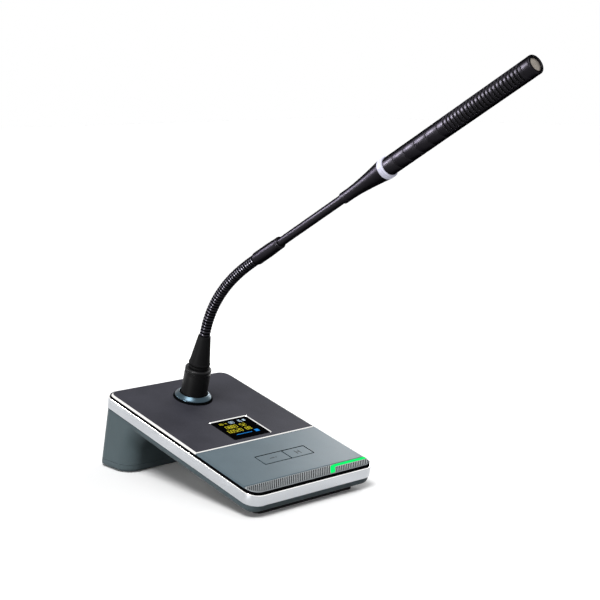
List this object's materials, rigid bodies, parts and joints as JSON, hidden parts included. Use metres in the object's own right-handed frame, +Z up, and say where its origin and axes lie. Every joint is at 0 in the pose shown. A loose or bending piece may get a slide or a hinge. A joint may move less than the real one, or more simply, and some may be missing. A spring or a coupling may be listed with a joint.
{
  "type": "gooseneck conference microphone",
  "caption": "Desk conference microphone: a wedge base with a display, keys and a speaker on a rear foot, carrying a ribbed gooseneck and a slotted line microphone.",
  "frame": {"origin": "on the table, in the middle of the rubber pad under the rear foot", "axes": "+Z up, +Y away from the speaking person, +X to the right seen from their seat"},
  "size_m": [0.13, 0.4142, 0.3422],
  "materials": {
    "shell_plastic": "fine-grained blue-grey moulding",
    "pad_rubber": "matt black rubber",
    "band_metal": "satin silver with a bright upper edge",
    "dark_panel": "fine-grained dark graphite with bright cut edges",
    "blue_panel": "satin blue-grey",
    "lamp_green": "lit green light guide",
    "lamp_white": "milky pale lavender",
    "black_plastic": "matt black",
    "screen_glass": "black glass with a lit picture",
    "steel": "plain steel",
    "circuit_board": "green laminate",
    "cell_sleeve": "blue shrink sleeve",
    "bezel_metal": "polished blue-grey metal",
    "pin_brass": "gold-plated brass",
    "mic_metal": "satin black paint",
    "neck_sheath": "satin black ribbed sheath",
    "liner_cloth": "black acoustic cloth tube",
    "mesh_steel": "fine woven wire"
  },
  "bodies": {
    "base": {"bottom_shell": "shell_plastic", "foot_cover": "shell_plastic", "rear_pad": "pad_rubber", "front_pad": "pad_rubber", "cover_screws": "steel", "trim_band": "band_metal", "rear_panel": "dark_panel", "front_panel": "blue_panel", "speaker_grille": "blue_panel", "light_guide": "lamp_green", "speaker_driver": "black_plastic", "key_switches": "steel", "display_glass": "screen_glass", "display_module": "steel", "main_board": "circuit_board", "board_screws": "steel", "battery_pack": "cell_sleeve", "socket_body": "black_plastic", "socket_bezel": "bezel_metal", "plug_body": "mic_metal", "plug_pins": "pin_brass", "boot": "pad_rubber", "neck_01": "neck_sheath"},
    "key_left": {"key_left": "blue_panel", "plunger_left": "pad_rubber"},
    "key_right": {"key_right": "blue_panel", "plunger_right": "pad_rubber"},
    "lock_nut": {"lock_nut": "mic_metal"},
    "neck_02": {"neck_02": "neck_sheath"},
    "neck_03": {"neck_03": "neck_sheath"},
    "neck_04": {"neck_04": "neck_sheath"},
    "neck_05": {"neck_05": "neck_sheath"},
    "neck_06": {"neck_06": "neck_sheath"},
    "neck_07": {"neck_07": "neck_sheath"},
    "neck_08": {"neck_08": "neck_sheath"},
    "neck_09": {"neck_09": "neck_sheath"},
    "neck_10": {"neck_10": "neck_sheath"},
    "arm": {"neck_11": "neck_sheath", "neck_coupler": "mic_metal", "upper_tube": "mic_metal", "head_adapter": "mic_metal", "light_ring": "lamp_white", "head_tube": "mic_metal", "slot_liner": "liner_cloth", "capsule": "steel", "capsule_holder": "pad_rubber", "end_cap": "mic_metal", "end_mesh": "mesh_steel"}
  },
  "joints": [
    {"name": "key_left_press", "type": "slide", "parent": "base", "child": "key_left", "axis": [0, 0.2267, -0.974], "range_m": [0, 0.0008], "stiffness_N_per_m": 1500},
    {"name": "key_right_press", "type": "slide", "parent": "base", "child": "key_right", "axis": [0, 0.2267, -0.974], "range_m": [0, 0.0008], "stiffness_N_per_m": 1500},
    {"name": "lock_nut_turn", "type": "hinge", "parent": "base", "child": "lock_nut", "pos_m": [0, -0.03031, 0.05744], "axis": [0, -0.294, 0.9558], "continuous": true},
    {"name": "neck_bend_1", "type": "hinge", "parent": "base", "child": "neck_02", "pos_m": [0, -0.05055, 0.12216], "axis": [1, 0, 0], "range_deg": [-8.5, 8]},
    {"name": "neck_sway_1", "type": "hinge", "parent": "neck_02", "child": "neck_03", "pos_m": [0, -0.05446, 0.1305], "axis": [0, 0.8819, 0.4714], "range_deg": [-8, 8]},
    {"name": "neck_bend_2", "type": "hinge", "parent": "neck_03", "child": "neck_04", "pos_m": [0, -0.05921, 0.1384], "axis": [1, 0, 0], "range_deg": [-8.5, 8]},
    {"name": "neck_sway_2", "type": "hinge", "parent": "neck_04", "child": "neck_05", "pos_m": [0, -0.06468, 0.14581], "axis": [0, 0.777, 0.6294], "range_deg": [-8, 8]},
    {"name": "neck_bend_3", "type": "hinge", "parent": "neck_05", "child": "neck_06", "pos_m": [0, -0.07078, 0.15272], "axis": [1, 0, 0], "range_deg": [-8.5, 8]},
    {"name": "neck_sway_3", "type": "hinge", "parent": "neck_06", "child": "neck_07", "pos_m": [0, -0.07741, 0.15912], "axis": [0, 0.667, 0.7451], "range_deg": [-8, 8]},
    {"name": "neck_bend_4", "type": "hinge", "parent": "neck_07", "child": "neck_08", "pos_m": [0, -0.08448, 0.16503], "axis": [1, 0, 0], "range_deg": [-8.5, 8]},
    {"name": "neck_sway_4", "type": "hinge", "parent": "neck_08", "child": "neck_09", "pos_m": [0, -0.09191, 0.17048], "axis": [0, 0.5688, 0.8225], "range_deg": [-8, 8]},
    {"name": "neck_bend_5", "type": "hinge", "parent": "neck_09", "child": "neck_10", "pos_m": [0, -0.09962, 0.17553], "axis": [1, 0, 0], "range_deg": [-8.5, 8]},
    {"name": "neck_sway_5", "type": "hinge", "parent": "neck_10", "child": "arm", "pos_m": [0, -0.10753, 0.18027], "axis": [0, 0.4997, 0.8662], "range_deg": [-8, 8]}
  ],
  "couplings": [
    {"joint": "neck_bend_2", "follows": "neck_bend_1", "ratio": 1},
    {"joint": "neck_sway_2", "follows": "neck_sway_1", "ratio": 1},
    {"joint": "neck_bend_3", "follows": "neck_bend_1", "ratio": 1},
    {"joint": "neck_sway_3", "follows": "neck_sway_1", "ratio": 1},
    {"joint": "neck_bend_4", "follows": "neck_bend_1", "ratio": 1},
    {"joint": "neck_sway_4", "follows": "neck_sway_1", "ratio": 1},
    {"joint": "neck_bend_5", "follows": "neck_bend_1", "ratio": 1},
    {"joint": "neck_sway_5", "follows": "neck_sway_1", "ratio": 1}
  ]
}
